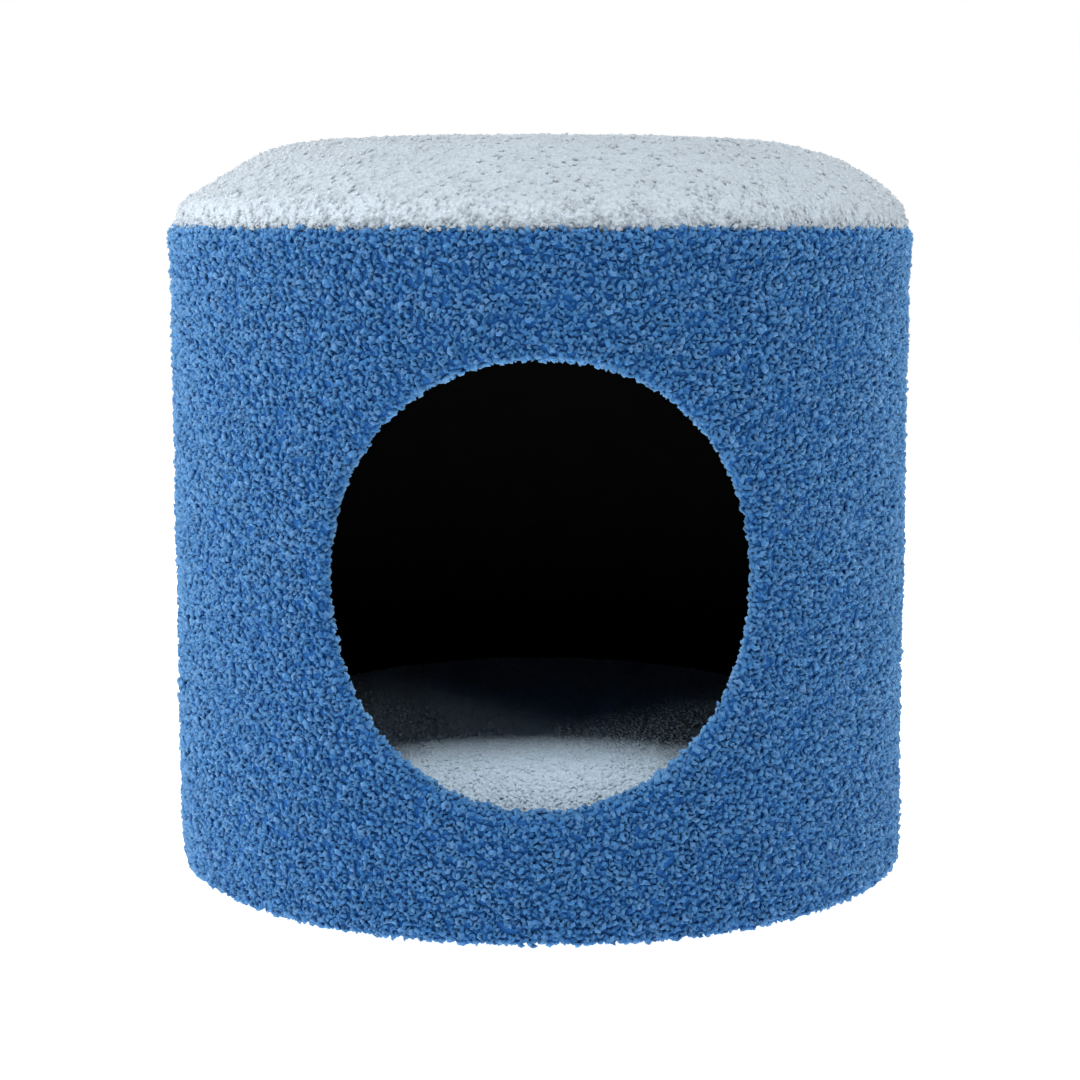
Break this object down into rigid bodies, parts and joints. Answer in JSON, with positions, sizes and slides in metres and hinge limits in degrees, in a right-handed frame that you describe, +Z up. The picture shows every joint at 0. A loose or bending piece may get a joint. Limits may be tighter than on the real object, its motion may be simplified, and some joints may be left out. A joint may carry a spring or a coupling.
{
  "type": "cat house",
  "caption": "Upholstered cylindrical cat house: textured cloth drum with a round side door, padded lift-off lid, dark felt lining and a loose round cushion.",
  "frame": {"origin": "on the floor at the middle of the drum, under its vertical axis", "axes": "+Z up along the drum's axis, the door faces -Y, +X is to the right of someone who looks into the door"},
  "size_m": [0.4, 0.4, 0.398],
  "materials": {
    "blue_boucle": "matte",
    "light_boucle": "matte",
    "dark_felt": "matte",
    "foam": "matte",
    "fibre_board": "matte",
    "wood_board": "matte",
    "black_plastic": "satin",
    "zinc_steel": "satin"
  },
  "bodies": {
    "drum": {"wall_cover": "blue_boucle", "wall_foam": "foam", "wall_board": "fibre_board", "wall_joint_strip": "fibre_board", "wall_lining": "dark_felt", "rim_hoop": "wood_board", "base_board": "wood_board", "floor_lining": "dark_felt", "base_dust_cover": "dark_felt", "foot_1": "black_plastic", "foot_2": "black_plastic", "foot_3": "black_plastic", "foot_4": "black_plastic", "foot_screw_1": "zinc_steel", "foot_screw_2": "zinc_steel", "foot_screw_3": "zinc_steel", "foot_screw_4": "zinc_steel", "base_screw_1": "zinc_steel", "base_screw_2": "zinc_steel", "base_screw_3": "zinc_steel", "base_screw_4": "zinc_steel", "base_screw_5": "zinc_steel", "base_screw_6": "zinc_steel"},
    "lid": {"lid_cover": "light_boucle", "lid_foam": "foam", "lid_board": "wood_board", "lid_locating_disc": "wood_board", "lid_lining": "dark_felt", "lid_screw_1": "zinc_steel", "lid_screw_2": "zinc_steel", "lid_screw_3": "zinc_steel", "lid_screw_4": "zinc_steel", "lid_screw_5": "zinc_steel", "lid_screw_6": "zinc_steel"},
    "cushion": {"cushion_top_cover": "light_boucle", "cushion_bottom_cover": "light_boucle", "cushion_filling": "foam"}
  },
  "joints": [
    {"name": "lid_lift", "type": "slide", "parent": "drum", "child": "lid", "axis": [0, 0, 1], "range_m": [0, 0.25]},
    {"name": "cushion_lift", "type": "slide", "parent": "drum", "child": "cushion", "axis": [0, 0, 1], "range_m": [0, 0.22]}
  ]
}
